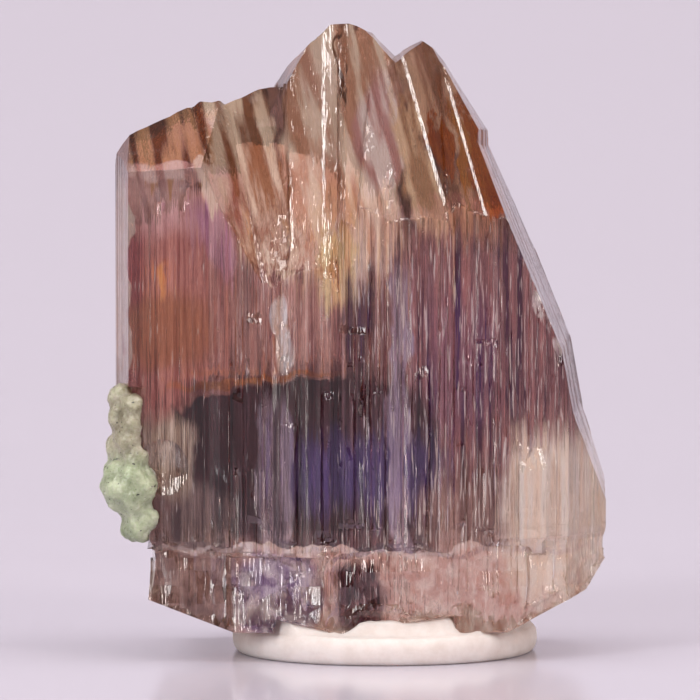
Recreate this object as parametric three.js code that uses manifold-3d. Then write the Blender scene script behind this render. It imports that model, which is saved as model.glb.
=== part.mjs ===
// A tanzanite crystal with a crust of prehnite beads, standing on a pressed putty disc.
// Millimetres, +Z up. The broad front of the crystal faces -Y.
// The origin is the centre of the disc's underside.
import * as THREE from "three";
import { mergeVertices } from "three/addons/utils/BufferGeometryUtils.js";
import Module from "manifold-3d";

const wasm = await Module();
wasm.setup();

// Driving sizes of the crystal: its sides, its tips and the foot that it stands on
const LEFT = -11.9;
const RIGHT = 9.75;
const FRONT = -5.4;
const BACK = 5.4;
const TIP = 27.9;
const SECOND_TIP = 27.05;
const SHOULDER_TOP = 25;
const LEFT_TOP = 24.4;
const DISC_RADIUS = 6.7;
const DISC_THICKNESS = 1.2;
const SEAT_GAP = 0.1;
const FOOT = DISC_THICKNESS + SEAT_GAP;

// Growth ridges that run up the prism faces
const RIDGE_PITCH = 0.36;
const RIDGE_DEPTH = 0.08;
const RIDGE_EDGE = 0.05;
const RIDGE_SEED = 1117;

// Outline of the whole prism seen from above, from the left side round the front:
// the corner, and how strongly the face that starts there is ridged
const PRISM_CORNERS = [
  { x: LEFT, y: -1.3, ridges: 0.3 },
  { x: LEFT + 0.62, y: FRONT + 0.95, ridges: 0.25 },
  { x: -7.75, y: FRONT + 0.55, ridges: 1 },
  { x: -7.25, y: FRONT + 0.28, ridges: 1 },
  { x: -5.15, y: FRONT + 0.18, ridges: 1 },
  { x: -4.95, y: FRONT - 0.05, ridges: 0.15 },
  { x: -4.25, y: FRONT + 0.18, ridges: 1 },
  { x: -2.4, y: FRONT + 0.08, ridges: 1 },
  { x: -0.1, y: FRONT - 0.02, ridges: 1 },
  { x: 0.05, y: FRONT - 0.22, ridges: 0.15 },
  { x: 1.02, y: FRONT, ridges: 1 },
  { x: 2.95, y: FRONT + 0.08, ridges: 1 },
  { x: 3.05, y: FRONT + 0.28, ridges: 1 },
  { x: 6.3, y: FRONT + 0.55, ridges: 1 },
  { x: 6.42, y: FRONT + 0.72, ridges: 0.8 },
  { x: RIGHT - 1.7, y: FRONT + 1.0, ridges: 0.5 },
  { x: RIGHT, y: -2.3, ridges: 0.6 },
  { x: RIGHT, y: 1.9, ridges: 0.6 },
  { x: RIGHT - 1.55, y: BACK - 0.9, ridges: 1 },
  { x: 4.0, y: BACK - 0.2, ridges: 1 },
  { x: 3.8, y: BACK, ridges: 1 },
  { x: -1.5, y: BACK + 0.2, ridges: 1 },
  { x: -1.8, y: BACK - 0.1, ridges: 1 },
  { x: -7.0, y: BACK - 0.3, ridges: 1 },
  { x: LEFT + 1.7, y: BACK - 0.7, ridges: 0.6 },
  { x: LEFT, y: 2.2, ridges: 0.5 },
];

// Numbers in 0..1 that look random and are the same on every run
function numberStream(seed) {
  let state = seed;
  return () => {
    state = (state * 16807) % 2147483647;
    return state / 2147483647;
  };
}

// A closed geometry as a solid that can be joined and cut
function solidOf(geometry) {
  const bare = geometry.clone();
  bare.deleteAttribute("normal");
  bare.deleteAttribute("uv");
  const welded = mergeVertices(bare, 1e-5);
  return new wasm.Manifold(
    new wasm.Mesh({
      numProp: 3,
      vertProperties: welded.attributes.position.array,
      triVerts: new Uint32Array(welded.index.array),
    }),
  );
}

// The geometry of a finished solid
function geometryOf(solid) {
  const { numProp, numVert, vertProperties, triVerts } = solid.getMesh();
  const positions = new Float32Array(numVert * 3);
  for (let i = 0; i < numVert; i++) {
    positions.set(vertProperties.subarray(i * numProp, i * numProp + 3), i * 3);
  }
  const geometry = new THREE.BufferGeometry();
  geometry.setAttribute("position", new THREE.BufferAttribute(positions, 3));
  geometry.setIndex(new THREE.BufferAttribute(triVerts, 1));
  geometry.computeVertexNormals();
  return geometry;
}

// The outline with each face broken into narrow strips that step in and out
function ridgedOutline(corners, seed) {
  const random = numberStream(seed);
  const points = [];
  corners.forEach((corner, index) => {
    const next = corners[(index + 1) % corners.length];
    const start = new THREE.Vector2(corner.x, corner.y);
    const along = new THREE.Vector2(next.x, next.y).sub(start);
    const length = along.length();
    along.normalize();
    const outward = new THREE.Vector2(along.y, -along.x);
    const place = (distance, step) =>
      start.clone().addScaledVector(along, distance).addScaledVector(outward, step);
    points.push(place(0, 0));
    let step = 0;
    let distance = RIDGE_PITCH * (0.5 + random());
    while (distance < length - 0.5 * RIDGE_PITCH) {
      points.push(place(distance, step));
      step = corner.ridges * RIDGE_DEPTH * (1.4 * random() - 1);
      points.push(place(distance + RIDGE_EDGE, step));
      distance += RIDGE_PITCH * (0.5 + random());
    }
  });
  return points;
}

// A straight block with the given outline
function prism(outline, bottom, top) {
  const geometry = new THREE.ExtrudeGeometry(new THREE.Shape(outline), {
    depth: top - bottom,
    bevelEnabled: false,
  });
  return solidOf(geometry.translate(0, 0, bottom));
}

// A flat crystal face: it passes through a point and dips at an angle towards a direction seen from above
function face(x, y, z, towardsX, towardsY, dip) {
  const angle = THREE.MathUtils.degToRad(dip);
  const run = new THREE.Vector2(towardsX, towardsY).normalize().multiplyScalar(Math.sin(angle));
  const normal = new THREE.Vector3(run.x, run.y, Math.cos(angle));
  return { normal, reach: normal.dot(new THREE.Vector3(x, y, z)) };
}

// What is left of a solid under the given faces
function cutByFaces(solid, faces) {
  return faces.reduce(
    (kept, { normal, reach }) => kept.trimByPlane(normal.clone().negate().toArray(), -reach),
    solid,
  );
}

// A box that is turned and put in place, for taking a chip out of a solid
function chip(size, centre, turn) {
  const geometry = new THREE.BoxGeometry(...size);
  const angles = turn.map((angle) => THREE.MathUtils.degToRad(angle));
  geometry.applyMatrix4(new THREE.Matrix4().makeRotationFromEuler(new THREE.Euler(...angles)));
  return solidOf(geometry.translate(...centre));
}

// The parallel sub-crystals that the crystal has grown from: the end faces and flanks of each
const RIDGE_LINE = -0.8;
const peakFaces = [
  face(-4.2, RIDGE_LINE, TIP - 2.1, -1, -0.15, 60),
  face(-2.9, RIDGE_LINE, TIP - 0.5, -1, 0.1, 43),
  face(-1.85, RIDGE_LINE, TIP, -0.3, 0.1, 6),
  face(-0.93, RIDGE_LINE, TIP - 0.28, 1, 0.1, 25),
  face(0, RIDGE_LINE, TIP - 1.15, 1, -0.1, 46),
  face(-2, RIDGE_LINE + 0.4, TIP, 0, 1, 63),
];
const SUB_CRYSTALS = {
  leftPrism: [
    face(-8.2, RIDGE_LINE, LEFT_TOP, -0.22, -1, 34),
    face(-8.2, RIDGE_LINE, LEFT_TOP, -0.78, 0.75, 47),
    face(LEFT + 0.5, -2.3, LEFT_TOP - 1.7, -1, -0.3, 65),
    face(-8, FRONT + 0.55, LEFT_TOP - 2.8, 0.77, -0.46, 64),
    face(-8.2, RIDGE_LINE, LEFT_TOP, 0.1, 1, 30),
  ],
  shoulder: [
    face(-5.45, RIDGE_LINE + 0.4, SHOULDER_TOP, -0.2, -1, 60.5),
    face(-5.45, RIDGE_LINE + 0.4, SHOULDER_TOP, -1, 0.3, 25),
    face(-5.1, RIDGE_LINE, SHOULDER_TOP + 0.05, -1, 0, 6),
    face(-5.1, RIDGE_LINE + 0.4, SHOULDER_TOP, -0.1, 1, 52),
    face(-9, 0, 0, -1, 0.1, 90),
    face(-3.4, 0, 0, 1, 0.1, 90),
  ],
  peakLeft: [
    ...peakFaces,
    face(-3.3, RIDGE_LINE - 0.5, TIP - 0.9, -0.12, -1, 69),
    face(-4.55, RIDGE_LINE, 25, -1, -0.2, 87),
    face(-2.1, 0, 0, 1, 0, 90),
  ],
  peakMiddle: [
    ...peakFaces,
    face(-2, RIDGE_LINE - 0.2, TIP, 0, -1, 69.5),
    face(-3.1, 0, 0, -1, -0.1, 90),
    face(-1.3, 0, 0, 1, -0.1, 90),
  ],
  peakRight: [
    ...peakFaces,
    face(-0.9, RIDGE_LINE - 0.4, TIP - 0.35, 0.25, -1, 65),
    face(-1.5, 0, 0, -1, 0.1, 90),
    face(0.6, RIDGE_LINE, 25.9, 1, -0.25, 84),
  ],
  secondPeak: [
    face(0.35, RIDGE_LINE, SECOND_TIP - 0.8, -1, -0.2, 34),
    face(1.9, RIDGE_LINE, SECOND_TIP - 0.1, 1, 0.1, 30),
    face(2.8, 1.5, SECOND_TIP - 1.1, 1, -0.06, 59),
    face(1.6, RIDGE_LINE - 0.2, SECOND_TIP, 0.1, -1, 60),
    face(1.6, RIDGE_LINE + 0.4, SECOND_TIP, 0.1, 1, 60),
    face(-0.2, 0, 0, -1, 0.2, 90),
    face(4.4, 0, 0, 1, -0.1, 90),
  ],
  rightFlank: [
    face(3.37, 2, 24.8, 1, -0.06, 59),
    face(6.65, 4.5, 17.7, 1, -0.06, 67.5),
    face(8.5, 4, 12.4, 1, -0.06, 80),
    face(4.2, FRONT + 1.6, 22, 0.25, -1, 62),
    face(3, 1.6, 24.6, 0.2, 1, 62),
    face(2.2, 0, 0, -1, -0.1, 90),
  ],
  lowerRight: [
    face(9.25, 3, 9.3, 1, -0.06, 71),
    face(8.8, FRONT + 1.2, 10, 0.3, -1, 62),
    face(8.6, BACK - 1.5, 9.5, 0.2, 1, 55),
    face(7, 0, 0, -1, 0, 90),
  ],
};
const uncut = chip([40, 40, 2 * TIP + 4], [0, 0, 0], [0, 0, 0]);
const ends = Object.values(SUB_CRYSTALS)
  .map((faces) => cutByFaces(uncut, faces))
  .reduce((joined, next) => joined.add(next));
const grown = prism(ridgedOutline(PRISM_CORNERS, RIDGE_SEED), FOOT, TIP + 1).intersect(ends);

// Columns that stand out of the front and back faces and end at their own heights
const COLUMN_WIDTH = { least: 0.45, spread: 0.75 };
const COLUMN_PROUD = { least: 0.05, spread: 0.17 };
const COLUMN_FOOT = { least: 4.6, spread: 1.2 };
const COLUMN_TURN = 16;
const COLUMN_DEPTH = 1.6;
const COLUMN_GAP = { least: 1.1, spread: 1.2 };
const COLUMN_TOP_DIP = 62;
const COLUMN_FOOT_DIP = 125;

function columns({ left, right, wall, outward, lowest, highest, seed }) {
  const random = numberStream(seed);
  const between = ({ least, spread }) => least + spread * random();
  const made = [];
  let x = left;
  while (x < right) {
    const width = between(COLUMN_WIDTH);
    const middle = wall + outward * (between(COLUMN_PROUD) - COLUMN_DEPTH / 2);
    const turn = COLUMN_TURN * (random() - 0.5);
    const top = lowest + (highest - lowest) * random();
    const bottom = between(COLUMN_FOOT);
    const size = [width, COLUMN_DEPTH, top - bottom];
    const block = chip(size, [x, middle, (top + bottom) / 2], [0, 0, turn]);
    made.push(
      cutByFaces(block, [
        face(x, wall, top - 0.6, 0.4 * random() - 0.2, outward, COLUMN_TOP_DIP),
        face(x, wall, bottom + 0.4, 0.4 * random() - 0.2, outward, COLUMN_FOOT_DIP),
      ]),
    );
    x += width * between(COLUMN_GAP);
  }
  return made;
}
const columned = [
  ...columns({ left: -6.4, right: -3, wall: FRONT + 0.2, outward: -1, lowest: 10.5, highest: 16, seed: 77 }),
  ...columns({ left: -2.4, right: 2.8, wall: FRONT + 0.02, outward: -1, lowest: 12, highest: 17, seed: 421 }),
  ...columns({ left: 3.4, right: 6.8, wall: FRONT + 0.42, outward: -1, lowest: 9, highest: 15, seed: 1931 }),
  ...columns({ left: -9, right: 7, wall: BACK - 0.1, outward: 1, lowest: 9, highest: 16, seed: 3301 }),
].reduce((joined, next) => joined.add(next), grown);

// The broken underside: rising to both ends and undercut at the front and back
const broken = cutByFaces(columned, [
  face(-6.6, FRONT, FOOT, -1, -0.1, 159),
  face(5.3, FRONT, FOOT, 1, -0.1, 152),
  face(RIGHT - 0.65, FRONT, 3.4, 1, 0, 123),
  face(2.5, FRONT, 4.9, 0.06, -1, 98),
  face(-8, FRONT + 0.5, 3.2, -0.1, -1, 97),
  face(0, BACK, 3.6, 0.15, 1, 108),
]);

// A smooth shell-shaped hollow where a flake has come off
function scoop(halfSizes, centre, turn) {
  const geometry = new THREE.IcosahedronGeometry(1, 8).scale(...halfSizes);
  return solidOf(geometry.rotateY(THREE.MathUtils.degToRad(turn)).translate(...centre));
}

// What has broken off: the step down the right flank, the left side and the corner that the beads grow on,
// and flakes along the foot
const FLANK_SLOPE = 22.5;
const SEAT_BOTTOM = 5.1;
const SEAT_MIDDLE = 8.9;
const SEAT_TOP = 12.2;
const SEAT_SLOPE = 17;
const breaks = [
  chip([6, 3, 24], [9.1, FRONT + 0.2, 19], [0, -FLANK_SLOPE, 3]),
  chip([4, 20, 5.7], [-13, 0, 7.2], [0, -SEAT_SLOPE, 0]),
  chip([4, 20, 8], [LEFT - 0.34, 0, SEAT_BOTTOM - 4], [0, 4, -4]),
  chip([4, 6, SEAT_TOP - SEAT_MIDDLE], [-12.9, -4.45, (SEAT_TOP + SEAT_MIDDLE) / 2], [0, 3, 27.6]),
  chip(
    [4, 8, SEAT_MIDDLE - SEAT_BOTTOM + 0.2],
    [-11.85, -6.1, (SEAT_MIDDLE + SEAT_BOTTOM) / 2],
    [0, -2, 36.9],
  ),
  chip([4.1, 2.4, 3.6], [-5, FRONT - 0.55, 3], [-10, 2, -5]),
  chip([2.3, 20, 1.2], [-4.2, 0, FOOT - 0.15], [0, 12, 5]),
  chip([2.8, 20, 1.4], [2, 0, FOOT - 0.1], [0, -8, -4]),
  scoop([2.6, 2.6, 2.9], [-10, FRONT - 1.55, 8.6], -14),
  scoop([4.5, 3, 4], [0.2, FRONT - 2.3, 0.3], 10),
  scoop([3.2, 2.4, 3.4], [8.4, FRONT - 1, 1.2], -30),
  scoop([4.5, 3, 3.6], [4.6, BACK + 2.2, 2.2], 25),
];
const crystal = breaks.reduce((left, next) => left.subtract(next), broken);

// The beads: fused round lumps, kept clear of the crystal that they grow on
const BEADS = [
  { x: -11.14, y: -4, z: 7.66, radius: 1.26, detail: 6 },
  { x: -11.02, y: -4.15, z: 11.2, radius: 0.55, detail: 4 },
  { x: -11.08, y: -4.15, z: 10.55, radius: 0.6, detail: 4 },
  { x: -11.6, y: -3.4, z: 11.55, radius: 0.55, detail: 4 },
  { x: -11.5, y: -3.6, z: 10.7, radius: 0.66, detail: 4 },
  { x: -11.2, y: -4, z: 9.8, radius: 0.66, detail: 4 },
  { x: -11.5, y: -3.3, z: 9.35, radius: 0.7, detail: 4 },
  { x: -10.88, y: -4.2, z: 9.15, radius: 0.55, detail: 3 },
  { x: -10.72, y: -4.2, z: 6, radius: 0.68, detail: 4 },
  { x: -11.05, y: -3.8, z: 5.85, radius: 0.54, detail: 3 },
  { x: -10.42, y: -4.4, z: 6.3, radius: 0.55, detail: 3 },
  { x: -11.5, y: -2.7, z: 8.2, radius: 0.85, detail: 4 },
  { x: -11.2, y: -2.6, z: 6.9, radius: 0.75, detail: 4 },
  { x: -11.7, y: -2.2, z: 9.2, radius: 0.6, detail: 3 },
];
const BUMP_HEIGHT = 0.1;
const BUMPS_ROUND = 5;

function bead({ x, y, z, radius, detail }) {
  const geometry = new THREE.IcosahedronGeometry(radius, detail);
  const points = geometry.attributes.position;
  const point = new THREE.Vector3();
  for (let i = 0; i < points.count; i++) {
    point.fromBufferAttribute(points, i);
    const turn = point.clone().multiplyScalar(BUMPS_ROUND / radius);
    const bump = Math.sin(turn.x + x) * Math.sin(turn.y + y) * Math.sin(turn.z + z);
    point.setLength(radius * (1 + BUMP_HEIGHT * bump));
    points.setXYZ(i, point.x, point.y, point.z);
  }
  return solidOf(geometry.translate(x, y, z));
}
const CLEAR_WAYS = [
  [-SEAT_GAP, -SEAT_GAP, 0],
  [0, 0, SEAT_GAP],
  [0, 0, -SEAT_GAP],
];
const beads = CLEAR_WAYS.reduce(
  (left, way) => left.subtract(crystal.translate(way)),
  BEADS.map(bead).reduce((joined, next) => joined.add(next)),
);

// The disc: pressed by hand, so it is slightly out of round, with a full rounded rim
const RIM_STEPS = 8;
const DISC_STEPS = 72;
const FOOT_RADIUS = DISC_RADIUS - 0.35;
const discProfile = [new THREE.Vector2(0, 0), new THREE.Vector2(FOOT_RADIUS, 0)];
for (let i = 1; i < RIM_STEPS; i++) {
  const angle = (i / RIM_STEPS - 0.5) * Math.PI;
  discProfile.push(
    new THREE.Vector2(
      FOOT_RADIUS + (DISC_RADIUS - FOOT_RADIUS) * Math.cos(angle),
      (DISC_THICKNESS / 2) * (1 + Math.sin(angle)),
    ),
  );
}
discProfile.push(new THREE.Vector2(FOOT_RADIUS, DISC_THICKNESS), new THREE.Vector2(0, DISC_THICKNESS));
const discGeometry = new THREE.LatheGeometry(discProfile, DISC_STEPS).rotateX(Math.PI / 2);
const discPoints = discGeometry.attributes.position;
for (let i = 0; i < discPoints.count; i++) {
  const angle = Math.atan2(discPoints.getY(i), discPoints.getX(i));
  const stretch = 1 + 0.008 * Math.sin(2 * angle + 0.6) + 0.005 * Math.sin(5 * angle);
  discPoints.setX(i, discPoints.getX(i) * stretch);
  discPoints.setY(i, discPoints.getY(i) * stretch);
}
const disc = solidOf(discGeometry);

// The finished pieces
function piece(name, solid, material) {
  const mesh = new THREE.Mesh(geometryOf(solid), material);
  mesh.name = name;
  return mesh;
}
const specimen = new THREE.Group();
specimen.name = "tanzanite_specimen";
specimen.add(
  piece(
    "tanzanite_crystal",
    crystal,
    new THREE.MeshStandardMaterial({ color: "#8a6270", roughness: 0.15, transparent: true, opacity: 0.85 }),
  ),
  piece("prehnite_cluster", beads, new THREE.MeshStandardMaterial({ color: "#b4c2a0", roughness: 0.45 })),
  piece("putty_disc", disc, new THREE.MeshStandardMaterial({ color: "#f4eae6", roughness: 0.9 })),
);

export default specimen;
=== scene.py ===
"""The looks of the tanzanite specimen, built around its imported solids.

Metres, +Z up, and the broad front faces -Y.
"""

import math

import bmesh
import bpy
import numpy as np
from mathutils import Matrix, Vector, noise
from mathutils.bvhtree import BVHTree


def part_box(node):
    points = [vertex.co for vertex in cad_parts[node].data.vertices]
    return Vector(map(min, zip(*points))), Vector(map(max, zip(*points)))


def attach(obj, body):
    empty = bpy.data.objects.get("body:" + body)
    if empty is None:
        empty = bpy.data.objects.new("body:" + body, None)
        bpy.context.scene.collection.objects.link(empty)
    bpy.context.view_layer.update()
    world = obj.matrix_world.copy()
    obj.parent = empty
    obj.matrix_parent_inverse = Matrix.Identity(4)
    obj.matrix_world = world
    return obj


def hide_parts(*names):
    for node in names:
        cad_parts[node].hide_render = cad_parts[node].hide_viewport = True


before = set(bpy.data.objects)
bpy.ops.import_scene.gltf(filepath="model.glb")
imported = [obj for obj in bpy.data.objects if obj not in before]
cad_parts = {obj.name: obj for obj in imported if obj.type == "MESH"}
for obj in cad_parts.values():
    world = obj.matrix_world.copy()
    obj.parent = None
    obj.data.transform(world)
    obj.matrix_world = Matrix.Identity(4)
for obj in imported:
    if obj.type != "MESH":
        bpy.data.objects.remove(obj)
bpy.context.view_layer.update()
scene = bpy.context.scene

MM = 0.001
MM_PER_METRE = 1000
ACROSS = Vector((1, 0, 0))
DEEP = Vector((0, 1, 0))
UP = Vector((0, 0, 1))
WELD_DISTANCE = 0.0002 * MM
FLAT_ANGLE = math.radians(0.2)
random = np.random.default_rng(4)


# Small helpers
def linear(hex_colour):
    """An sRGB colour such as "#8a6468" as a linear RGBA colour."""
    channels = [int(hex_colour[i : i + 2], 16) / 255 for i in (1, 3, 5)]
    return [c / 12.92 if c <= 0.04045 else ((c + 0.055) / 1.055) ** 2.4 for c in channels] + [1]


def add(tree, kind, inputs=(), **settings):
    """Adds a node, sets its settings, and fills or links its inputs by name or number."""
    node = tree.nodes.new(kind)
    for key, value in settings.items():
        setattr(node, key, value)
    for key, value in dict(inputs).items():
        if isinstance(value, bpy.types.NodeSocket):
            tree.links.new(value, node.inputs[key])
        else:
            node.inputs[key].default_value = value
    return node


def new_material(name):
    material = bpy.data.materials.new(name)
    material.use_nodes = True
    material.node_tree.nodes.clear()
    return material


def place_in_mm(tree):
    """The place on the object in mm, so that a pattern's scale is its number of waves per millimetre."""
    place = add(tree, "ShaderNodeTexCoord").outputs["Object"]
    scale = (MM_PER_METRE, MM_PER_METRE, MM_PER_METRE)
    return add(tree, "ShaderNodeVectorMath", {0: place, 1: scale}, operation="MULTIPLY").outputs[0]


def stretched_noise(tree, in_mm, waves, detail, roughness=0.5):
    """Noise with its own number of waves per millimetre along x, y and z."""
    stretched = add(tree, "ShaderNodeVectorMath", {0: in_mm, 1: waves}, operation="MULTIPLY").outputs[0]
    inputs = {"Vector": stretched, "Scale": 1, "Detail": detail, "Roughness": roughness}
    return add(tree, "ShaderNodeTexNoise", inputs).outputs["Fac"]


def copy_of(node_name):
    """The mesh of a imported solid, welded, with its flat faces whole again."""
    bm = bmesh.new()
    bm.from_mesh(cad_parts[node_name].data)
    bmesh.ops.remove_doubles(bm, verts=bm.verts[:], dist=WELD_DISTANCE)
    bmesh.ops.dissolve_limit(bm, angle_limit=FLAT_ANGLE, verts=bm.verts[:], edges=bm.edges[:])
    return bm


def make_piece(bm, name, material, cad_node):
    """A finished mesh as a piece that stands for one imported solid."""
    mesh = bpy.data.meshes.new(name)
    bm.to_mesh(mesh)
    bm.free()
    mesh.materials.append(material)
    piece = bpy.data.objects.new(name, mesh)
    scene.collection.objects.link(piece)
    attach(piece, "root")
    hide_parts(cad_node)
    return piece


# The crystal's surface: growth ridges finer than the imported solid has, and the broken foot below a wavy ledge
RIDGE_WIDTH = 0.13 * MM
SIDE_RIDGE_WIDTH = 0.2 * MM
END_RIDGE_WIDTH = 0.3 * MM
STEP_HEIGHT = 0.5 * MM
UNEVEN_GAPS = (0.35, 1.65)
SLICE_SNAP = 0.0005 * MM
# How many times a ridge steps along its length, how much of its height it keeps there, and how much is new
STEPS_ALONG = 4
STEP_KEEPS = 0.6
STEP_ADDS = 0.6
TALLEST_RIDGE = 2
RIDGE_RELIEF = 0.032 * MM
END_RELIEF = 0.03 * MM
END_LEAN = Vector((0.96, 0, 0.28))
END_START = 16 * MM
# A face is a wall while its normal rises less than the first of these, and an end face above the second
WALL_TO_END = (0.2, 0.5)
FACING_FRONT = (0.2, 0.6)
# Smooth panels of the front, as low and high x, then low and high z in mm, and the ridge height left on them
SMOOTH_PANELS = [(-13, -7.7, 5.5, 25), (-9, -5.3, 8.5, 12.4), (5.8, 11, 0, 9.3)]
SMOOTH_SHARE = 0.25
PANEL_EDGE = 0.3
LEDGE_X = np.array([-11, -8, -6, -2.4, -0.2, 1.6, 3.3, 4.9, 8]) * MM
LEDGE_Z = np.array([5.2, 5.1, 4.8, 4.5, 5.1, 4.95, 4.6, 5.3, 5.5]) * MM
LEDGE_WIDTH = 0.16 * MM
LEDGE_DEPTH = 0.12 * MM
BREAK_CELL = 1.3 * MM
BREAK_RELIEF = 0.3 * MM
BREAK_REACH = 0.7
BREAK_FADE = 0.3 * MM
BROKEN_RIDGES = 0.5
# Chipped hollows in the front, as middle x and z, half width and half height in mm
HOLLOWS = [
    (-4.6, 18.4, 0.42, 1.0),
    (-4.5, 14.4, 0.42, 1.6),
    (6.7, 16.0, 0.25, 0.65),
    (7.7, 13.7, 0.2, 0.6),
    (-9.9, 20.4, 0.25, 0.4),
    (-8.8, 20.6, 0.25, 0.45),
    (-0.75, 22.9, 0.16, 0.7),
    (0.2, 21.0, 0.18, 0.8),
    (-2.7, 5.2, 0.5, 0.6),
    (-1.0, 11.6, 0.15, 0.4),
]
HOLLOW_DEPTH = 0.14 * MM
HOLLOW_EDGE = (0.5, 1.2)
HOLLOW_GRAIN = 0.8
HOLLOW_GRAIN_SIZE = 0.16 * MM


def places_between(low, high, width):
    """Uneven places from low to high, about a width apart."""
    gaps = width * random.uniform(*UNEVEN_GAPS, int((high - low) / width))
    places = low + np.cumsum(gaps)
    return places[places < high]


def slice_mesh(bm, normal, places):
    for place in places:
        bmesh.ops.bisect_plane(
            bm,
            geom=bm.verts[:] + bm.edges[:] + bm.faces[:],
            dist=SLICE_SNAP,
            plane_co=normal * float(place),
            plane_no=normal,
        )


def ridge_heights(across, up):
    """Heights of the ridges: each keeps its height along the crystal and steps to another here and there."""
    heights = random.normal(0, 1, (len(across), 1)) * np.ones((1, len(up)))
    for ridge in heights:
        for step in random.integers(0, len(up), STEPS_ALONG):
            ridge[step:] = STEP_KEEPS * ridge[step:] + STEP_ADDS * random.normal()
    return np.clip(heights, -TALLEST_RIDGE, TALLEST_RIDGE)


def look_up(table, across, up, x, z):
    """The table's height at x and z, straight between its places."""
    i = np.clip(np.searchsorted(across, x) - 1, 0, len(across) - 2)
    j = np.clip(np.searchsorted(up, z) - 1, 0, len(up) - 2)
    s = np.clip((x - across[i]) / (across[i + 1] - across[i]), 0, 1)
    t = np.clip((z - up[j]) / (up[j + 1] - up[j]), 0, 1)
    low = table[i, j] * (1 - s) + table[i + 1, j] * s
    high = table[i, j + 1] * (1 - s) + table[i + 1, j + 1] * s
    return low * (1 - t) + high * t


def smooth_step(start, end, value):
    t = np.clip((value - start) / (end - start), 0, 1)
    return t * t * (3 - 2 * t)


def between(low, high, value):
    """1 from low to high, fading to 0 over a panel's soft edge."""
    rising = smooth_step(-PANEL_EDGE, PANEL_EDGE, value - low)
    falling = smooth_step(PANEL_EDGE, -PANEL_EDGE, value - high)
    return rising * falling


def grow_crystal():
    bm = copy_of("tanzanite_crystal")
    low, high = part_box("tanzanite_crystal")
    coarse = 1
    front_places = places_between(low.x, high.x, coarse * RIDGE_WIDTH)
    side_places = places_between(low.y, high.y, coarse * SIDE_RIDGE_WIDTH)
    levels = places_between(low.z, high.z, coarse * STEP_HEIGHT)
    ledge_low = LEDGE_Z.min() - LEDGE_WIDTH
    ledge_high = LEDGE_Z.max() + LEDGE_WIDTH
    ledge_levels = places_between(ledge_low, ledge_high, coarse * LEDGE_WIDTH)
    lean_low = END_LEAN.dot((low.x, 0, END_START))
    lean_high = END_LEAN.dot((high.x, 0, high.z))
    lean_places = places_between(lean_low, lean_high, coarse * END_RIDGE_WIDTH)
    slice_mesh(bm, ACROSS, front_places)
    slice_mesh(bm, DEEP, side_places)
    slice_mesh(bm, UP, levels)
    slice_mesh(bm, UP, ledge_levels)
    slice_mesh(bm, END_LEAN, lean_places)
    bm.normal_update()

    # Upright ridges on the walls, leaning ridges on the end faces
    place = np.array([v.co for v in bm.verts])
    normal = np.array([v.normal for v in bm.verts])
    x, y, z = place.T
    front = look_up(ridge_heights(front_places, levels), front_places, levels, x, z)
    side = look_up(ridge_heights(side_places, levels), side_places, levels, y, z)
    lean_heights = np.clip(random.normal(0, 1, len(lean_places)), -TALLEST_RIDGE, TALLEST_RIDGE)
    lean = np.interp(place @ np.array(END_LEAN), lean_places, lean_heights)
    faces_side = np.abs(normal[:, 0]) > np.abs(normal[:, 1])
    wall = 1 - smooth_step(*WALL_TO_END, np.abs(normal[:, 2]))
    end = smooth_step(*WALL_TO_END, normal[:, 2])
    ridged = np.ones(len(place))
    for left, right, bottom, top in SMOOTH_PANELS:
        ridged *= 1 - (1 - SMOOTH_SHARE) * between(left, right, x / MM) * between(bottom, top, z / MM)
    height = RIDGE_RELIEF * wall * ridged * np.where(faces_side, side, front) + END_RELIEF * end * lean

    # Below the ledge the surface is broken into shell-shaped facets
    ledge = np.interp(x, LEDGE_X, LEDGE_Z)
    below = 1 - smooth_step(ledge - LEDGE_WIDTH, ledge + LEDGE_WIDTH, z)
    inside = smooth_step(low.z, low.z + BREAK_FADE, z)
    shells = np.array([noise.voronoi(Vector(p) / BREAK_CELL)[0][0] for p in place])
    height = height * (1 - BROKEN_RIDGES * below)
    height -= below * inside * wall * (LEDGE_DEPTH + BREAK_RELIEF * (BREAK_REACH - shells).clip(0))

    # Chipped hollows
    grain = np.array([noise.noise(Vector(p) / HOLLOW_GRAIN_SIZE) for p in place])
    faces_front = smooth_step(*FACING_FRONT, -normal[:, 1])
    for middle_x, middle_z, half_width, half_height in HOLLOWS:
        across = (x / MM - middle_x) / half_width
        along = (z / MM - middle_z) / half_height
        hollow = 1 - smooth_step(*HOLLOW_EDGE, np.hypot(across, along))
        height -= HOLLOW_DEPTH * hollow * faces_front * (1 + HOLLOW_GRAIN * grain)
    place += normal * height[:, None]
    for vertex, co in zip(bm.verts, place):
        vertex.co = co
    bmesh.ops.triangulate(bm, faces=bm.faces[:])
    return bm


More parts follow.
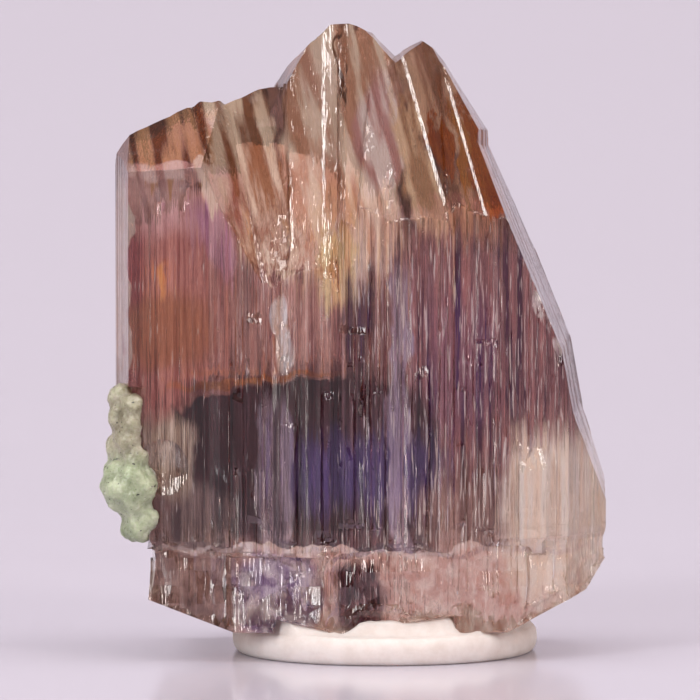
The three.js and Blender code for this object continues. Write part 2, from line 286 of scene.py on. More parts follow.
# Materials
# Tanzanite, natural growth faces: clear and strongly coloured, changing from brown ends through rose and plum
# to a violet core, with fine streaks along its length and a glassy lustre.
# A zone is a soft-edged patch that runs through the crystal from front to back. Its edge is plain (upright),
# ragged along the streaks (fringed), ragged and leaning as the end faces do (leaning), or tilted as the dark
# core's painted crack reflection is (tilted). A few zones paint light rather than the stone's colour: an edge
# highlight, the sheen of two columns, glints in chipped hollows and the dark reflection of an inner crack.
ZONES = [
    # name, middle x and z, half width and height (mm), edge, softness of the edge, two colours of its streaks
    ("rose prism", -9.05, 16.2, 2.4, 5.7, "upright", 0.2, "#88423a", "#da9684"),
    ("rose edge", -11.1, 16.4, 0.45, 4.6, "upright", 0.6, "#8c383c", "#bc6464"),
    ("mauve top", -9.2, 20.5, 2.1, 1.7, "upright", 0.7, "#b47c78", "#e8b8b0"),
    ("ember band", -9.5, 14.4, 2.0, 1.6, "upright", 0.6, "#7e3e25", "#c37d58"),
    ("orange glow", -9.6, 16.6, 0.18, 0.8, "upright", 0.8, "#d8742c", "#f4b068"),
    ("violet smear", -7.4, 18.6, 0.5, 1.6, "leaning", 0.8, "#8f5670", "#e1a4b9"),
    ("left strip", -11.65, 16.0, 0.36, 5.3, "upright", 0.2, "#ccb4a6", "#e8d6c8"),
    ("mauve column", -4.7, 17.4, 0.9, 3.2, "fringed", 0.5, "#8c5850", "#d09890"),
    ("rose centre", -3.4, 14.6, 2.2, 2.2, "fringed", 0.5, "#7c4440", "#e0aa98"),
    ("champagne peak", -1.9, 22.5, 2.5, 5.7, "fringed", 0.2, "#e0a484", "#f8dcc4"),
    ("pale summit", -2.9, 25.6, 0.8, 1.3, "upright", 0.5, "#e4ac94", "#f8dcc8"),
    ("peak crack", -1.92, 26.0, 0.06, 1.5, "upright", 0.6, "#4a2418", "#8a5a40"),
    ("pink bands", -0.3, 23.2, 0.9, 2.4, "upright", 0.5, "#dc9e9a", "#f8e2dc"),
    ("gold window", -2.0, 17.4, 0.85, 1.7, "fringed", 0.4, "#f0b070", "#f8e0a8"),
    ("tan right end", 3.4, 19.4, 1.8, 1.8, "fringed", 0.5, "#9a5c40", "#d89c74"),
    ("second peak", 2.1, 25.0, 1.4, 2.4, "leaning", 0.4, "#b47858", "#e4b494"),
    ("khaki band", 1.5, 21.6, 0.75, 3.0, "leaning", 0.35, "#d09c74", "#f8d0aa"),
    ("first slab", 2.5, 22.6, 0.35, 1.3, "leaning", 0.2, "#9c3808", "#c45818"),
    ("second slab", 3.4, 22.3, 0.3, 1.9, "leaning", 0.3, "#a4480f", "#d07a2c"),
    ("third slab", 4.2, 21.9, 0.45, 2.6, "leaning", 0.2, "#a03404", "#c05814"),
    ("brown end", -9.2, 23.0, 2.3, 1.8, "leaning", 0.1, "#5c1800", "#dca06c"),
    ("streaked valley", -5.9, 21.4, 1.5, 4.3, "leaning", 0.2, "#a8643a", "#f8dcc0"),
    # Painted highlight: the pale pink line along the top edge of the rose prism is an edge highlight painted
    # into the colour
    ("painted pink edge highlight", -9.1, 21.5, 2.1, 0.32, "upright", 0.5, "#d89c94", "#f8d4cc"),
    ("peach panel", -7.65, 20.9, 0.42, 1.2, "leaning", 0.3, "#f0b896", "#f8dcc8"),
    ("plum columns", 4.3, 13.6, 3.7, 5.2, "leaning", 0.3, "#320a24", "#b87872"),
    ("violet columns", 3.4, 13.2, 1.5, 2.8, "fringed", 0.6, "#300a46", "#a0646c"),
    ("indigo line", -1.2, 14.6, 0.55, 2.1, "fringed", 0.6, "#1c0430", "#58281c"),
    ("deep core", -2.6, 8.6, 5.0, 3.7, "upright", 0.15, "#14060a", "#4a282c"),
    # Painted reflection: darker than the core round it, painted in for the dark that an inner crack reflects
    ("painted dark crack reflection", -4.9, 9.95, 4.5, 2.35, "tilted", 0.05, "#120305", "#40171a"),
    ("maroon centre", -0.8, 10.6, 2.2, 2.0, "fringed", 0.4, "#1c060a", "#54282c"),
    ("maroon depth", -0.3, 6.2, 2.4, 1.5, "upright", 0.5, "#220c12", "#583438"),
    ("violet haze", -1.0, 8.3, 3.2, 1.6, "fringed", 0.8, "#221038", "#624a88"),
    ("tan foot", 4.0, 6.0, 2.2, 1.6, "upright", 0.7, "#6c463e", "#c09688"),
    ("smoky corner", -8.2, 6.2, 1.5, 1.4, "upright", 0.5, "#3a2424", "#a0847a"),
    # Painted sheen: the next two columns are painted lighter greyish lilac where their glossy faces catch the
    # side light
    ("sheen column", -4.85, 8.4, 0.6, 3.4, "upright", 0.3, "#4c3c4a", "#b8a4b0"),
    ("lilac column of painted sheen", 0.55, 10.9, 0.5, 6.4, "upright", 0.3, "#766478", "#bca8bc"),
    ("pale fracture", -9.4, 9.0, 1.1, 1.7, "upright", 0.4, "#8c7058", "#ecd8c0"),
    # Painted glints: the two chips and the hollow after them are white partly from their frosted break and
    # partly from glints painted into the colour
    ("upper chip with painted glint", 6.7, 16.0, 0.24, 0.6, "leaning", 0.4, "#e8dcd8", "#f8f4f0"),
    ("lower chip with painted glint", 7.7, 13.7, 0.2, 0.6, "leaning", 0.4, "#e0d0cc", "#f8f4f0"),
    ("hollow with painted glint", -4.5, 14.4, 0.4, 1.6, "upright", 0.3, "#e1cebc", "#f7f7f7"),
    ("gold line", -5.9, 12.4, 3.4, 0.14, "tilted", 0.6, "#a04a1c", "#d88848"),
    ("frosted foot", 0.0, 2.6, 12.0, 2.3, "upright", 0.08, "#d49a86", "#f8e0d2"),
    ("brown foot", -8.4, 3.0, 1.8, 2.2, "upright", 0.3, "#704e44", "#ae8879"),
    ("icy foot", -4.8, 3.0, 1.9, 1.7, "upright", 0.3, "#7c5c8c", "#f4e6e6"),
    ("maroon foot", -1.2, 2.9, 1.1, 1.5, "upright", 0.4, "#2a0c12", "#683c3e"),
    ("pale right foot", 7.6, 6.3, 2.4, 3.7, "fringed", 0.45, "#fcdcc0", "#fcf4e6"),
    ("ledge rim", -0.5, 4.95, 9.5, 0.13, "upright", 0.6, "#d8b4a4", "#f6e8e0"),
]
BODY_COLOURS = ("#54302a", "#a47468")
INNER_COLOUR = "#c8a898"
INNER_DENSITY = 15
TANZANITE_IOR = 1.69
# Pale parts are cloudier, by their grey level
CLEAR_TRANSMISSION = 0.9
PALE_TRANSMISSION = 0.74
PALE_LEVELS = (0.2, 0.75)
POLISHED_ROUGHNESS = 0.03
FROSTED_ROUGHNESS = 0.3
FROST_LEVELS = (0.45, 0.75)
# Streaks and flecks (the stone's dark specks and painted glints) in waves per millimetre along x, y and z.
# Tanzanite's finest lines are a few hundredths of a millimetre wide, narrower than a pixel of the photo, so
# they are drawn coarser here.
UPRIGHT_WAVES = (3.2, 1.8, 0.09)
UPRIGHT_EDGES = (0.41, 0.59)
BAND_WAVES_ACROSS = 1.1
BAND_WAVES_ALONG = 0.16
BAND_EDGES = (0.46, 0.54)
END_LEVELS = (18, 20.5)
ETCHING_WAVES = 1.4
BLOTCH_EDGES = (0.4, 0.62)
BLOTCH_SHARE = 0.8
FOOT_LEVELS = (5.0, 4.6)
WANDER_WAVES = (0.8, 0.8, 0.5)
WANDER_MM = 1.5
FRINGE_MM = 5
LEAN_SLOPE = 0.25
LEAN_LEVEL = 21
TILT_SLOPE = 0.15
SPECK_AND_GLINT_WAVES = (12, 8, 0.7)
SPECKS_AND_GLINTS_FROM_X = (-3, 1)
SPECK_AND_GLINT_GAIN = 0.1
PAINTED_GLINT_LOSS = -0.2
# Painted glints: bright flecks painted into the colour as highlights on the ridges
PAINTED_GLINT_LEVELS = (0.7, 0.75)
PAINTED_GLINT_SHARE = 0.8
PAINTED_GLINT_COLOUR = "#f0e4dc"
DIM_LEVELS = (0.22, 0.15)
DIM_SHARE = 0.5
DIM_FLECK = "#3a2424"
LINE_WAVES = (11, 4, 0.5)
LINE_DEPTH = 0.05 * MM
LINE_STRENGTH = 0.5
END_LINE_SHARE = 0.6


def tanzanite():
    material = new_material("tanzanite_natural_growth_faces")
    tree = material.node_tree
    in_mm = place_in_mm(tree)
    x_mm, _, z_mm = add(tree, "ShaderNodeSeparateXYZ", {0: in_mm}).outputs

    # Streaks up to half a millimetre wide along the length, and wider leaning bands on the end faces
    upright_noise = stretched_noise(tree, in_mm, UPRIGHT_WAVES, detail=4, roughness=0.75)
    upright_share = add(
        tree,
        "ShaderNodeMapRange",
        {"Value": upright_noise, "From Min": UPRIGHT_EDGES[0], "From Max": UPRIGHT_EDGES[1]},
    ).outputs[0]
    above = add(tree, "ShaderNodeMath", {0: z_mm, 1: LEAN_LEVEL}, operation="SUBTRACT").outputs[0]
    leaned_x = add(
        tree, "ShaderNodeMath", {0: above, 1: LEAN_SLOPE, 2: x_mm}, operation="MULTIPLY_ADD"
    ).outputs[0]
    across_band = add(
        tree, "ShaderNodeMath", {0: leaned_x, 1: BAND_WAVES_ACROSS}, operation="MULTIPLY"
    ).outputs[0]
    along_band = add(tree, "ShaderNodeMath", {0: z_mm, 1: BAND_WAVES_ALONG}, operation="MULTIPLY").outputs[0]
    band_place = add(tree, "ShaderNodeCombineXYZ", {"X": across_band, "Z": along_band}).outputs[0]
    band_noise = add(
        tree, "ShaderNodeTexNoise", {"Vector": band_place, "Scale": 1, "Detail": 4, "Roughness": 0.5}
    ).outputs["Fac"]
    band_share = add(
        tree,
        "ShaderNodeMapRange",
        {"Value": band_noise, "From Min": BAND_EDGES[0], "From Max": BAND_EDGES[1]},
    ).outputs[0]
    at_end = add(
        tree, "ShaderNodeMapRange", {"Value": z_mm, "From Min": END_LEVELS[0], "From Max": END_LEVELS[1]}
    ).outputs[0]
    streak_share = add(tree, "ShaderNodeMix", {"Factor": at_end, 2: upright_share, 3: band_share}).outputs[0]

    # The broken foot has blotches in place of streaks
    etching = add(
        tree, "ShaderNodeTexNoise", {"Vector": in_mm, "Scale": ETCHING_WAVES, "Detail": 3, "Roughness": 0.7}
    ).outputs["Fac"]
    blotch_share = add(
        tree,
        "ShaderNodeMapRange",
        {"Value": etching, "From Min": BLOTCH_EDGES[0], "From Max": BLOTCH_EDGES[1]},
    ).outputs[0]
    at_foot = add(
        tree,
        "ShaderNodeMapRange",
        {"Value": z_mm, "From Min": FOOT_LEVELS[0], "From Max": FOOT_LEVELS[1], "To Max": BLOTCH_SHARE},
    ).outputs[0]
    streak_share = add(
        tree, "ShaderNodeMix", {"Factor": at_foot, 2: streak_share, 3: blotch_share}
    ).outputs[0]

    # Zone edges wander a little, and a fringed edge reaches further along some streaks than along others
    wander_noise = stretched_noise(tree, in_mm, WANDER_WAVES, detail=2)
    wander = add(tree, "ShaderNodeMath", {0: wander_noise, 1: 0.5}, operation="SUBTRACT").outputs[0]
    moved_x = add(
        tree, "ShaderNodeMath", {0: wander, 1: WANDER_MM, 2: x_mm}, operation="MULTIPLY_ADD"
    ).outputs[0]
    moved_z = add(
        tree, "ShaderNodeMath", {0: wander, 1: -WANDER_MM, 2: z_mm}, operation="MULTIPLY_ADD"
    ).outputs[0]
    moved_lean = add(
        tree, "ShaderNodeMath", {0: wander, 1: WANDER_MM, 2: leaned_x}, operation="MULTIPLY_ADD"
    ).outputs[0]
    lowered_z = add(tree, "ShaderNodeMath", {0: moved_z, 1: FRINGE_MM / 2}, operation="SUBTRACT").outputs[0]
    fringed_z = add(
        tree, "ShaderNodeMath", {0: upright_noise, 1: FRINGE_MM, 2: lowered_z}, operation="MULTIPLY_ADD"
    ).outputs[0]
    tilted_z = add(
        tree, "ShaderNodeMath", {0: x_mm, 1: -TILT_SLOPE, 2: moved_z}, operation="MULTIPLY_ADD"
    ).outputs[0]
    places = {}
    for edge, edge_x, edge_z in (
        ("upright", moved_x, moved_z),
        ("fringed", moved_x, fringed_z),
        ("leaning", moved_lean, fringed_z),
        ("tilted", moved_x, tilted_z),
    ):
        places[edge] = add(tree, "ShaderNodeCombineXYZ", {"X": edge_x, "Z": edge_z}).outputs[0]

    # Each zone covers those before it, in the dark and in the light colour of the streaks
    dark_colour, light_colour = (linear(hex_colour) for hex_colour in BODY_COLOURS)
    for _, x, z, half_width, half_height, edge, soft, dark, light in ZONES:
        middle_x = x + LEAN_SLOPE * (z - LEAN_LEVEL) if edge == "leaning" else x
        middle_z = z - TILT_SLOPE * x if edge == "tilted" else z
        local = add(
            tree,
            "ShaderNodeVectorMath",
            {
                0: places[edge],
                1: (1 / half_width, 0, 1 / half_height),
                2: (-middle_x / half_width, 0, -middle_z / half_height),
            },
            operation="MULTIPLY_ADD",
        ).outputs[0]
        squared = add(tree, "ShaderNodeVectorMath", {0: local, 1: local}, operation="MULTIPLY").outputs[0]
        away = add(tree, "ShaderNodeVectorMath", {0: squared}, operation="LENGTH").outputs["Value"]
        inside = add(
            tree,
            "ShaderNodeMapRange",
            {"Value": away, "From Min": 1 + soft, "From Max": 1 - soft},
            interpolation_type="SMOOTHSTEP",
        ).outputs[0]
        dark_colour = add(
            tree, "ShaderNodeMix", {"Factor": inside, 6: dark_colour, 7: linear(dark)}, data_type="RGBA"
        ).outputs[2]
        light_colour = add(
            tree, "ShaderNodeMix", {"Factor": inside, 6: light_colour, 7: linear(light)}, data_type="RGBA"
        ).outputs[2]
    colour = add(
        tree, "ShaderNodeMix", {"Factor": streak_share, 6: dark_colour, 7: light_colour}, data_type="RGBA"
    ).outputs[2]

    # Short flecks on the ridges, most on the columns at the right: bright ones that are painted glints, with
    # hardly one on the foot and the ends, and dark ones that are the stone's own specks
    speck_and_glint_noise = stretched_noise(tree, in_mm, SPECK_AND_GLINT_WAVES, detail=1)
    on_columns = add(
        tree,
        "ShaderNodeMapRange",
        {"Value": x_mm, "From Min": SPECKS_AND_GLINTS_FROM_X[0], "From Max": SPECKS_AND_GLINTS_FROM_X[1], "To Max": SPECK_AND_GLINT_GAIN},
    ).outputs[0]
    painted_glint_sum = add(tree, "ShaderNodeMath", {0: speck_and_glint_noise, 1: on_columns}, operation="ADD").outputs[0]
    foot_and_end = add(tree, "ShaderNodeMath", {0: at_foot, 1: at_end}, operation="ADD").outputs[0]
    painted_glint_height = add(
        tree, "ShaderNodeMath", {0: foot_and_end, 1: PAINTED_GLINT_LOSS, 2: painted_glint_sum}, operation="MULTIPLY_ADD"
    ).outputs[0]
    painted_glint = add(
        tree,
        "ShaderNodeMapRange",
        {
            "Value": painted_glint_height,
            "From Min": PAINTED_GLINT_LEVELS[0],
            "From Max": PAINTED_GLINT_LEVELS[1],
            "To Max": PAINTED_GLINT_SHARE,
        },
    ).outputs[0]
    colour = add(
        tree, "ShaderNodeMix", {"Factor": painted_glint, 6: colour, 7: linear(PAINTED_GLINT_COLOUR)}, data_type="RGBA"
    ).outputs[2]
    fleck_dip = add(tree, "ShaderNodeMath", {0: speck_and_glint_noise, 1: on_columns}, operation="SUBTRACT").outputs[0]
    dim = add(
        tree,
        "ShaderNodeMapRange",
        {"Value": fleck_dip, "From Min": DIM_LEVELS[0], "From Max": DIM_LEVELS[1], "To Max": DIM_SHARE},
    ).outputs[0]
    colour = add(
        tree, "ShaderNodeMix", {"Factor": dim, 6: colour, 7: linear(DIM_FLECK)}, data_type="RGBA"
    ).outputs[2]

    # Frosted where it is etched, glassy elsewhere, with fine lines that are fainter on the end faces
    paleness = add(tree, "ShaderNodeRGBToBW", {0: colour}).outputs[0]
    clarity = add(
        tree,
        "ShaderNodeMapRange",
        {
            "Value": paleness,
            "From Min": PALE_LEVELS[0],
            "From Max": PALE_LEVELS[1],
            "To Min": CLEAR_TRANSMISSION,
            "To Max": PALE_TRANSMISSION,
        },
    ).outputs[0]
    roughness = add(
        tree,
        "ShaderNodeMapRange",
        {
            "Value": etching,
            "From Min": FROST_LEVELS[0],
            "From Max": FROST_LEVELS[1],
            "To Min": POLISHED_ROUGHNESS,
            "To Max": FROSTED_ROUGHNESS,
        },
    ).outputs[0]
    line_noise = stretched_noise(tree, in_mm, LINE_WAVES, detail=1)
    line_share = add(
        tree, "ShaderNodeMapRange", {"Value": at_end, "To Min": 1, "To Max": END_LINE_SHARE}
    ).outputs[0]
    line_height = add(tree, "ShaderNodeMath", {0: line_noise, 1: line_share}, operation="MULTIPLY").outputs[0]
    relief = add(
        tree, "ShaderNodeBump", {"Height": line_height, "Strength": LINE_STRENGTH, "Distance": LINE_DEPTH}
    ).outputs[0]
    shader = add(
        tree,
        "ShaderNodeBsdfPrincipled",
        {
            "Base Color": colour,
            "Roughness": roughness,
            "Normal": relief,
            "IOR": TANZANITE_IOR,
            "Transmission Weight": clarity,
        },
    ).outputs[0]
    inner = add(
        tree, "ShaderNodeVolumeAbsorption", {"Color": linear(INNER_COLOUR), "Density": INNER_DENSITY}
    ).outputs[0]
    add(tree, "ShaderNodeOutputMaterial", {"Surface": shader, "Volume": inner})
    return material


# Prehnite, fused rounded beads: waxy and translucent, mint green in the big bead and greyer above it, with a
# fine sugary surface and scattered black specks of graphite
PREHNITE_GREENS = ("#8c9678", "#bec4a8")
PREHNITE_GREYS = ("#817a62", "#c0baa4")
PREHNITE_IOR = 1.63
# The share of light that goes in, and how deep red, green and blue go
PREHNITE_SCATTER = 0.9
PREHNITE_SCATTER_SHARES = (0.8, 1.0, 0.7)
PREHNITE_SCATTER_DEPTH = 1 * MM
GREY_LEVELS = (8.6, 9.4)
CLOUD_WAVES = 1.3
CLOUD_EDGES = (0.35, 0.65)
SPECK_COLOUR = "#2c2a28"
SPECK_WAVES = 6
SPECK_LEVELS = (0.7, 0.74)
SUGAR_WAVES = 8
SUGAR_DEPTH = 0.08 * MM
SUGAR_STRENGTH = 0.6
SUGAR_LEVELS = (0.3, 0.7)
WAXY_ROUGHNESS = 0.2
SUGARY_ROUGHNESS = 0.5


def prehnite():
    material = new_material("prehnite_rounded_beads")
    tree = material.node_tree
    in_mm = place_in_mm(tree)
    clouds = add(
        tree, "ShaderNodeTexNoise", {"Vector": in_mm, "Scale": CLOUD_WAVES, "Detail": 5, "Roughness": 0.65}
    ).outputs["Fac"]
    share = add(
        tree, "ShaderNodeMapRange", {"Value": clouds, "From Min": CLOUD_EDGES[0], "From Max": CLOUD_EDGES[1]}
    ).outputs[0]
    green, grey = (
        add(
            tree, "ShaderNodeMix", {"Factor": share, 6: linear(dark), 7: linear(light)}, data_type="RGBA"
        ).outputs[2]
        for dark, light in (PREHNITE_GREENS, PREHNITE_GREYS)
    )
    level = add(tree, "ShaderNodeSeparateXYZ", {0: in_mm}).outputs["Z"]
    high_up = add(
        tree, "ShaderNodeMapRange", {"Value": level, "From Min": GREY_LEVELS[0], "From Max": GREY_LEVELS[1]}
    ).outputs[0]
    colour = add(tree, "ShaderNodeMix", {"Factor": high_up, 6: green, 7: grey}, data_type="RGBA").outputs[2]
    specks = add(
        tree, "ShaderNodeTexNoise", {"Vector": in_mm, "Scale": SPECK_WAVES, "Detail": 1}
    ).outputs["Fac"]
    speck_share = add(
        tree,
        "ShaderNodeMapRange",
        {"Value": specks, "From Min": SPECK_LEVELS[0], "From Max": SPECK_LEVELS[1]},
    ).outputs[0]
    colour = add(
        tree, "ShaderNodeMix", {"Factor": speck_share, 6: colour, 7: linear(SPECK_COLOUR)}, data_type="RGBA"
    ).outputs[2]
    sugar = add(
        tree, "ShaderNodeTexNoise", {"Vector": in_mm, "Scale": SUGAR_WAVES, "Detail": 3}
    ).outputs["Fac"]
    relief = add(
        tree, "ShaderNodeBump", {"Height": sugar, "Strength": SUGAR_STRENGTH, "Distance": SUGAR_DEPTH}
    ).outputs[0]
    roughness = add(
        tree,
        "ShaderNodeMapRange",
        {
            "Value": sugar,
            "From Min": SUGAR_LEVELS[0],
            "From Max": SUGAR_LEVELS[1],
            "To Min": WAXY_ROUGHNESS,
            "To Max": SUGARY_ROUGHNESS,
        },
    ).outputs[0]
    shader = add(
        tree,
        "ShaderNodeBsdfPrincipled",
        {
            "Base Color": colour,
            "Roughness": roughness,
            "Normal": relief,
            "IOR": PREHNITE_IOR,
            "Subsurface Weight": PREHNITE_SCATTER,
            "Subsurface Radius": PREHNITE_SCATTER_SHARES,
            "Subsurface Scale": PREHNITE_SCATTER_DEPTH,
        },
    ).outputs[0]
    add(tree, "ShaderNodeOutputMaterial", {"Surface": shader})
    return material


# Putty, hand-pressed: matt warm white with faint grey dimples
PUTTY_COLOURS = ("#ece2de", "#ddd0ca")
PUTTY_IOR = 1.48
PUTTY_ROUGHNESS = 0.75
PUTTY_SCATTER = 0.3
PUTTY_SCATTER_SHARES = (1, 0.8, 0.7)
PUTTY_SCATTER_DEPTH = 0.6 * MM
SMEAR_WAVES = 0.8
SMEAR_EDGES = (0.4, 0.7)
SMEAR_DEPTH = 0.1 * MM
SMEAR_STRENGTH = 0.3


def putty():
    material = new_material("putty_hand_pressed")
    tree = material.node_tree
    in_mm = place_in_mm(tree)
    smears = add(
        tree, "ShaderNodeTexNoise", {"Vector": in_mm, "Scale": SMEAR_WAVES, "Detail": 5, "Roughness": 0.65}
    ).outputs["Fac"]
    share = add(
        tree, "ShaderNodeMapRange", {"Value": smears, "From Min": SMEAR_EDGES[0], "From Max": SMEAR_EDGES[1]}
    ).outputs[0]
    clean, smeared = (linear(hex_colour) for hex_colour in PUTTY_COLOURS)
    colour = add(tree, "ShaderNodeMix", {"Factor": share, 6: clean, 7: smeared}, data_type="RGBA").outputs[2]
    relief = add(
        tree, "ShaderNodeBump", {"Height": smears, "Strength": SMEAR_STRENGTH, "Distance": SMEAR_DEPTH}
    ).outputs[0]
    shader = add(
        tree,
        "ShaderNodeBsdfPrincipled",
        {
            "Base Color": colour,
            "Roughness": PUTTY_ROUGHNESS,
            "Normal": relief,
            "IOR": PUTTY_IOR,
            "Subsurface Weight": PUTTY_SCATTER,
            "Subsurface Radius": PUTTY_SCATTER_SHARES,
            "Subsurface Scale": PUTTY_SCATTER_DEPTH,
        },
    ).outputs[0]
    add(tree, "ShaderNodeOutputMaterial", {"Surface": shader})
    return material


# The crystal
crystal_bm = grow_crystal()
crystal_tree = BVHTree.FromBMesh(crystal_bm)
make_piece(crystal_bm, "tanzanite_crystal_surface", tanzanite(), "tanzanite_crystal")

# The beads: remeshed fine, swollen until they touch the crystal, with a lumpy skin
BEAD_VOXEL = 0.05 * MM
BEAD_CLOSING = 0.3 * MM
BEAD_SMOOTHING = 6
BEAD_SWELL = 0.07 * MM
BEAD_LUMPS = 0.09 * MM
BEAD_LUMP_SIZE = 0.8 * MM
BEAD_GRAINS = 0.03 * MM
BEAD_GRAIN_SIZE = 0.16 * MM
# How fast finer lumps fade, how much finer each size is, and how many sizes there are
LUMP_SIZES = (0.9, 2.1, 3)


def remeshed(bm):
    """The same solid as an even fine mesh."""
    mesh = bpy.data.meshes.new("fine")
    bm.to_mesh(mesh)
    bm.free()
    piece = bpy.data.objects.new("fine", mesh)
    scene.collection.objects.link(piece)
    remesh = piece.modifiers.new("fine", "REMESH")
    remesh.mode = "VOXEL"
    remesh.voxel_size = BEAD_VOXEL
    fine = piece.evaluated_get(bpy.context.evaluated_depsgraph_get())
    made = bmesh.new()
    made.from_mesh(fine.data)
    bpy.data.objects.remove(piece)
    made.normal_update()
    return made


def swell(bm, height):
    for vertex in bm.verts:
        vertex.co += vertex.normal * height
    bm.normal_update()


def grow_beads():
    bm = remeshed(copy_of("prehnite_cluster"))
    swell(bm, BEAD_CLOSING)
    bm = remeshed(bm)
    for _ in range(BEAD_SMOOTHING):
        bmesh.ops.smooth_vert(
            bm, verts=bm.verts[:], factor=0.5, use_axis_x=True, use_axis_y=True, use_axis_z=True
        )
    bm.normal_update()
    swell(bm, BEAD_SWELL - BEAD_CLOSING)
    for vertex in bm.verts:
        lumps = noise.fractal(vertex.co / BEAD_LUMP_SIZE, *LUMP_SIZES)
        grains = noise.noise(vertex.co / BEAD_GRAIN_SIZE)
        vertex.co += vertex.normal * (BEAD_LUMPS * lumps + BEAD_GRAINS * grains)
    return bm


beads = make_piece(grow_beads(), "prehnite_beads_surface", prehnite(), "prehnite_cluster")
beads.data.shade_smooth()

# The disc: a fine copy with soft unevenness, pressed up against the broken foot of the crystal
DISC_RINGS = 60
DISC_SPOKES = 200
RIM_WIDTH = 0.35 * MM
RIM_STEPS = 16
# The disc is a little oval and has five slight lobes, as shares of its radius
OVAL = 0.008
OVAL_TURN = 0.6
LOBES = 0.005
DENT_SIZE = 1.6 * MM
# The same three values for the dents as LUMP_SIZES has for the lumps
DENT_SIZES = (0.9, 2.0, 4)
DENT_HEIGHT = 0.06 * MM
DENT_SPREAD = 0.004
PRESS_LIMIT = 2.0 * MM
PRESS_START = 0.3 * MM
PRESS_OVERLAP = 0.04 * MM
PRESS_SMOOTHING = 6
# Only what is this high in the disc's thickness is its top
TOP_SHARE = 0.9


def press_disc():
    _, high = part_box("putty_disc")
    radius = high.x
    thickness = high.z
    profile = []
    for i in range(DISC_RINGS):
        profile.append(((radius - RIM_WIDTH) * i / DISC_RINGS, thickness))
    for i in range(RIM_STEPS + 1):
        angle = math.pi * (0.5 - i / RIM_STEPS)
        distance = radius - RIM_WIDTH + RIM_WIDTH * math.cos(angle)
        profile.append((distance, thickness / 2 * (1 + math.sin(angle))))
    bm = bmesh.new()
    centre = bm.verts.new((0, 0, thickness))
    rings = []
    for distance, height in profile[1:]:
        ring = []
        for spoke in range(DISC_SPOKES):
            angle = 2 * math.pi * spoke / DISC_SPOKES
            wobble = 1 + OVAL * math.sin(2 * angle + OVAL_TURN) + LOBES * math.sin(5 * angle)
            x = distance * wobble * math.cos(angle)
            y = distance * wobble * math.sin(angle)
            ring.append(bm.verts.new((x, y, height)))
        rings.append(ring)
    for spoke in range(DISC_SPOKES):
        after = (spoke + 1) % DISC_SPOKES
        bm.faces.new((centre, rings[0][spoke], rings[0][after]))
        for inner, outer in zip(rings, rings[1:]):
            bm.faces.new((inner[spoke], outer[spoke], outer[after], inner[after]))
    bm.faces.new(reversed(rings[-1]))
    for vertex in bm.verts:
        lift = smooth_step(0, 0.5 * thickness, vertex.co.z)
        dents = noise.fractal(vertex.co / DENT_SIZE, *DENT_SIZES)
        vertex.co.z += DENT_HEIGHT * lift * dents
        vertex.co.x *= 1 + DENT_SPREAD * lift * dents
        vertex.co.y *= 1 + DENT_SPREAD * lift * dents

    # Putty follows the foot of the crystal up into its hollows, smoothed by taking half of each lift from the
    # four places round it
    lifts = np.zeros((DISC_RINGS, DISC_SPOKES))
    for ring, row in zip(rings, lifts):
        for spoke, vertex in enumerate(ring):
            hit = crystal_tree.ray_cast(vertex.co - UP * PRESS_START, UP, PRESS_LIMIT)[0]
            if hit is not None and vertex.co.z > TOP_SHARE * thickness:
                row[spoke] = min(hit.z, PRESS_LIMIT) - vertex.co.z + PRESS_OVERLAP
    for _ in range(PRESS_SMOOTHING):
        padded = np.pad(lifts, ((1, 1), (0, 0)), mode="edge")
        round_about = padded[:-2] + padded[2:] + np.roll(lifts, 1, axis=1) + np.roll(lifts, -1, axis=1)
        lifts = 0.5 * lifts + 0.125 * round_about
    for ring, row in zip(rings, lifts):
        for vertex, lift in zip(ring, row):
            vertex.co.z += lift
    centre.co.z += lifts[0].mean()
    bm.normal_update()
    return bm


disc = make_piece(press_disc(), "putty_disc_surface", putty(), "putty_disc")
disc.data.shade_smooth()

# The stage: a pale glossy table that sweeps up into the backdrop
TABLE_FRONT = -0.6
SWEEP_START = 0.04
SWEEP_RADIUS = 0.35
SWEEP_STEPS = 24
BACKDROP_TOP = 0.9
TABLE_HALF_WIDTH = 0.8
ACRYLIC_COLOUR = "#cac3d0"
ACRYLIC_ROUGHNESS = 0.16
ACRYLIC_IOR = 1.49


def stage_sweep():
    material = new_material("stage_pale_lavender_acrylic")
    tree = material.node_tree
    shader = add(
        tree,
        "ShaderNodeBsdfPrincipled",
        {"Base Color": linear(ACRYLIC_COLOUR), "Roughness": ACRYLIC_ROUGHNESS, "IOR": ACRYLIC_IOR},
    ).outputs[0]
    # The sheet is clear from its back, so that views from behind see the object and not the backdrop
    behind = add(tree, "ShaderNodeNewGeometry").outputs["Backfacing"]
    clear = add(tree, "ShaderNodeBsdfTransparent").outputs[0]
    one_way = add(tree, "ShaderNodeMixShader", {0: behind, 1: shader, 2: clear}).outputs[0]
    add(tree, "ShaderNodeOutputMaterial", {"Surface": one_way})
    profile = [(TABLE_FRONT, 0), (SWEEP_START, 0)]
    for i in range(1, SWEEP_STEPS + 1):
        angle = math.pi / 2 * i / SWEEP_STEPS
        back = SWEEP_START + SWEEP_RADIUS * math.sin(angle)
        profile.append((back, SWEEP_RADIUS * (1 - math.cos(angle))))
    profile.append((SWEEP_START + SWEEP_RADIUS, BACKDROP_TOP))
    bm = bmesh.new()
    left = [bm.verts.new((-TABLE_HALF_WIDTH, y, z)) for y, z in profile]
    right = [bm.verts.new((TABLE_HALF_WIDTH, y, z)) for y, z in profile]
    for i in range(len(profile) - 1):
        bm.faces.new((left[i], right[i], right[i + 1], left[i + 1])).smooth = True
    mesh = bpy.data.meshes.new("stage_sweep")
    bm.to_mesh(mesh)
    bm.free()
    mesh.materials.append(material)
    sweep = bpy.data.objects.new("stage_sweep", mesh)
    scene.collection.objects.link(sweep)


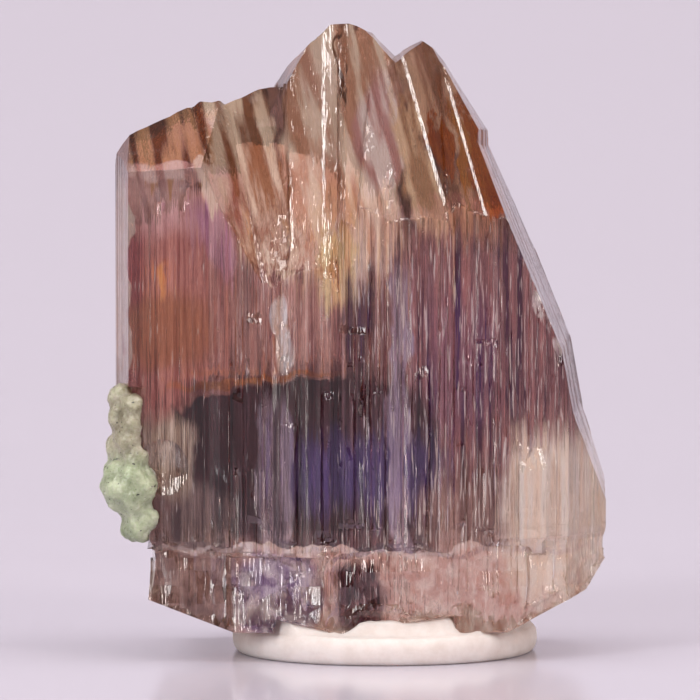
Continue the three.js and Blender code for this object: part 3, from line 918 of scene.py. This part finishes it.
stage_sweep()


# Soft studio light
def soft_box(name, place, aim, size, watts, colour):
    """A rectangular light that shows in reflections but not as a white board in the picture."""
    light = bpy.data.lights.new(name, "AREA")
    light.shape = "RECTANGLE"
    light.size, light.size_y = size
    light.energy = watts
    light.color = linear(colour)[:3]
    lamp = bpy.data.objects.new(name, light)
    lamp.location = place
    lamp.rotation_euler = (Vector(aim) - Vector(place)).to_track_quat("-Z", "Y").to_euler()
    lamp.visible_camera = False
    scene.collection.objects.link(lamp)


soft_box("light_top", (0, -0.02, 0.5), (0, -0.02, 0), (0.7, 0.22), 2.1, "#ffffff")
soft_box("light_left", (-0.26, -0.3, 0.2), (0, 0, 0.014), (0.1, 0.3), 1.1, "#ffffff")
soft_box("light_right", (0.3, -0.26, 0.16), (0, 0, 0.014), (0.08, 0.3), 0.75, "#fff6f0")

# The room: pale walls at the sides and above, dim in front of the object
ROOM_COLOUR = "#e2d2cc"
DIM_ROOM = 0.14
PALE_ROOM = 0.5
# How far forward a wall lies, as the y of the direction towards it
DIM_WALL = -0.9
PALE_WALL = -0.4
world = bpy.data.worlds.new("studio")
world.use_nodes = True
room_tree = world.node_tree
room_tree.nodes.clear()
toward = add(room_tree, "ShaderNodeTexCoord").outputs["Generated"]
depth = add(room_tree, "ShaderNodeSeparateXYZ", {0: toward}).outputs["Y"]
glow = add(
    room_tree,
    "ShaderNodeMapRange",
    {"Value": depth, "From Min": DIM_WALL, "From Max": PALE_WALL, "To Min": DIM_ROOM, "To Max": PALE_ROOM},
).outputs[0]
room = add(room_tree, "ShaderNodeBackground", {"Color": linear(ROOM_COLOUR), "Strength": glow}).outputs[0]
add(room_tree, "ShaderNodeOutputWorld", {"Surface": room})
scene.world = world

# Camera at the photo's viewing angle, from far enough for its weak perspective
VIEW_ELEVATION = math.radians(4.7)
VIEW_DISTANCE = 0.45
VIEW_WIDTH = 31.03 * MM
VIEW_MIDDLE = Vector((-1.55 * MM, 0, 13.37 * MM))
SENSOR_WIDTH = 36
camera_data = bpy.data.cameras.new("camera")
camera_data.sensor_width = SENSOR_WIDTH
camera_data.lens = SENSOR_WIDTH * VIEW_DISTANCE / VIEW_WIDTH
camera_data.clip_start = 0.01
camera = bpy.data.objects.new("camera", camera_data)
view_direction = Vector((0, -math.cos(VIEW_ELEVATION), math.sin(VIEW_ELEVATION)))
camera.location = VIEW_MIDDLE + VIEW_DISTANCE * view_direction
camera.rotation_euler = (math.pi / 2 - VIEW_ELEVATION, 0, 0)
scene.collection.objects.link(camera)
scene.camera = camera
scene.view_settings.view_transform = "Standard"

# Light paths: enough bounces for the clear crystal, and cheap light sampling to keep a final render short
scene.cycles.max_bounces = 6
scene.cycles.diffuse_bounces = 2
scene.cycles.glossy_bounces = 4
scene.cycles.transmission_bounces = 6
scene.cycles.use_light_tree = False
scene.cycles.light_sampling_threshold = 0.05
world.cycles.sampling_method = "NONE"
